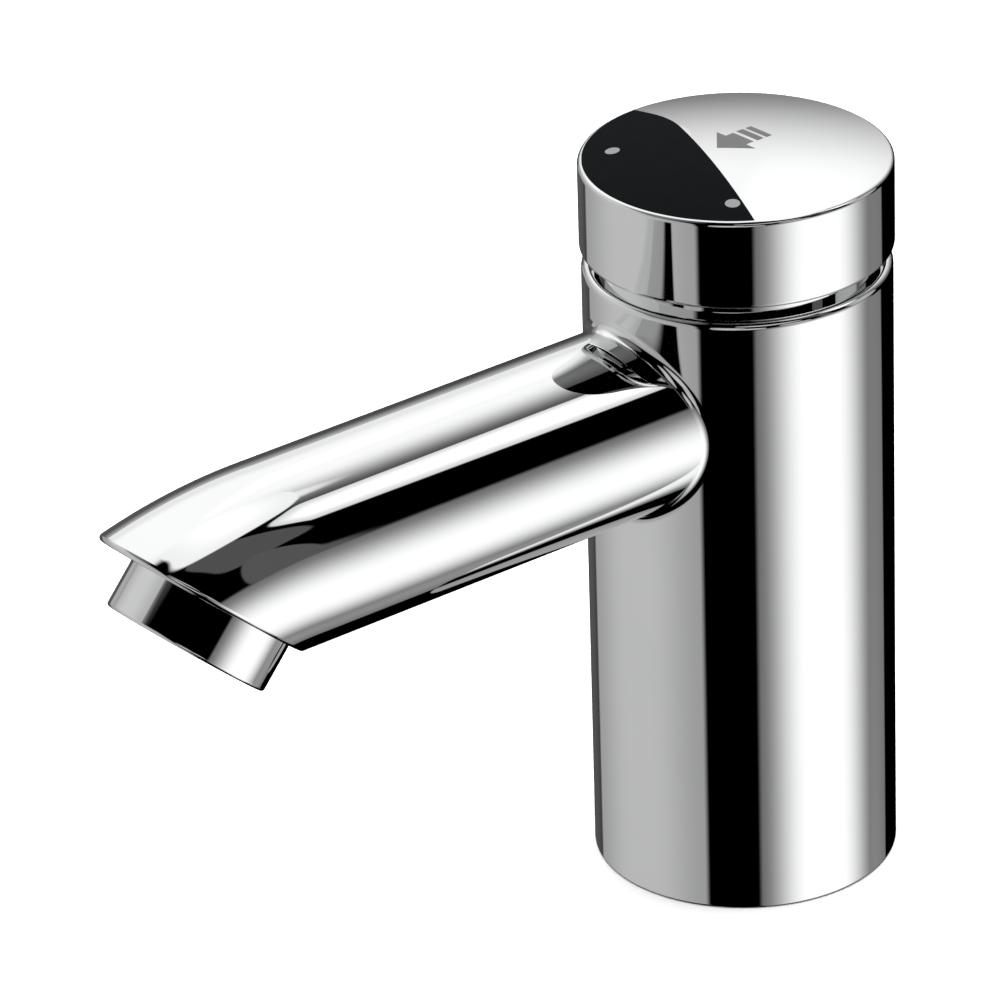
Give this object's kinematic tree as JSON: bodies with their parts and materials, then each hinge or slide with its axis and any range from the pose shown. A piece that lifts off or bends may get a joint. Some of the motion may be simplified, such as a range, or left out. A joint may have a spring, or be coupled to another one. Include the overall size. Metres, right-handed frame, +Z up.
{
  "type": "push timed tap",
  "caption": "Self-closing basin tap: round upright body, straight spout with tilted aerator, domed push cap that also turns to set the temperature.",
  "frame": {"origin": "centre of the foot, on the plane of the basin that the tap stands on", "axes": "+Z up along the body's axis, -Y along the spout towards the user, +X to the right seen from the user"},
  "size_m": [0.0485, 0.142, 0.1208],
  "materials": {
    "chrome": "polished",
    "brass": "machined",
    "steel": "bright",
    "ceramic": "lapped ceramic",
    "black_inlay": "satin",
    "dots": "satin",
    "grey_plastic": "moulded",
    "white_plastic": "moulded",
    "rubber": "matt"
  },
  "bodies": {
    "tap": {"tap_body": "chrome", "inlet_block": "brass", "block_o_ring": "rubber", "inlet_strainers": "steel", "inlet_seals": "rubber", "deck_o_ring": "rubber", "neck_ring": "chrome", "temperature_stop_ring": "grey_plastic", "cartridge_housing": "grey_plastic", "housing_o_rings": "rubber", "cartridge_bottom": "grey_plastic", "fixed_disc": "ceramic", "return_spring": "steel", "aerator_housing": "chrome", "aerator_insert": "white_plastic", "aerator_screen": "grey_plastic", "aerator_washer": "rubber"},
    "mixer": {"turning_disc": "ceramic", "mixing_rotor": "white_plastic", "rotor_o_rings": "rubber", "timing_cover": "grey_plastic", "cover_o_ring": "rubber", "cover_circlip": "steel", "stem_o_ring": "rubber", "timing_screw": "brass"},
    "button": {"push_stem": "brass", "timing_piston": "white_plastic", "piston_lip_seal": "rubber", "valve_seal": "rubber", "valve_washer": "brass", "valve_screw": "steel", "push_cap": "chrome", "cap_clip": "steel", "cap_inlay": "black_inlay", "temperature_dots": "dots"}
  },
  "joints": [
    {"name": "temperature_turn", "type": "hinge", "parent": "tap", "child": "mixer", "pos_m": [0, 0, 0.1], "axis": [0, 0, 1], "range_deg": [-45, 45]},
    {"name": "cap_push", "type": "slide", "parent": "mixer", "child": "button", "axis": [0, 0, -1], "range_m": [0, 0.002], "stiffness_N_per_m": 2500, "springref_m": -0.006, "deforming": ["return_spring"]}
  ]
}
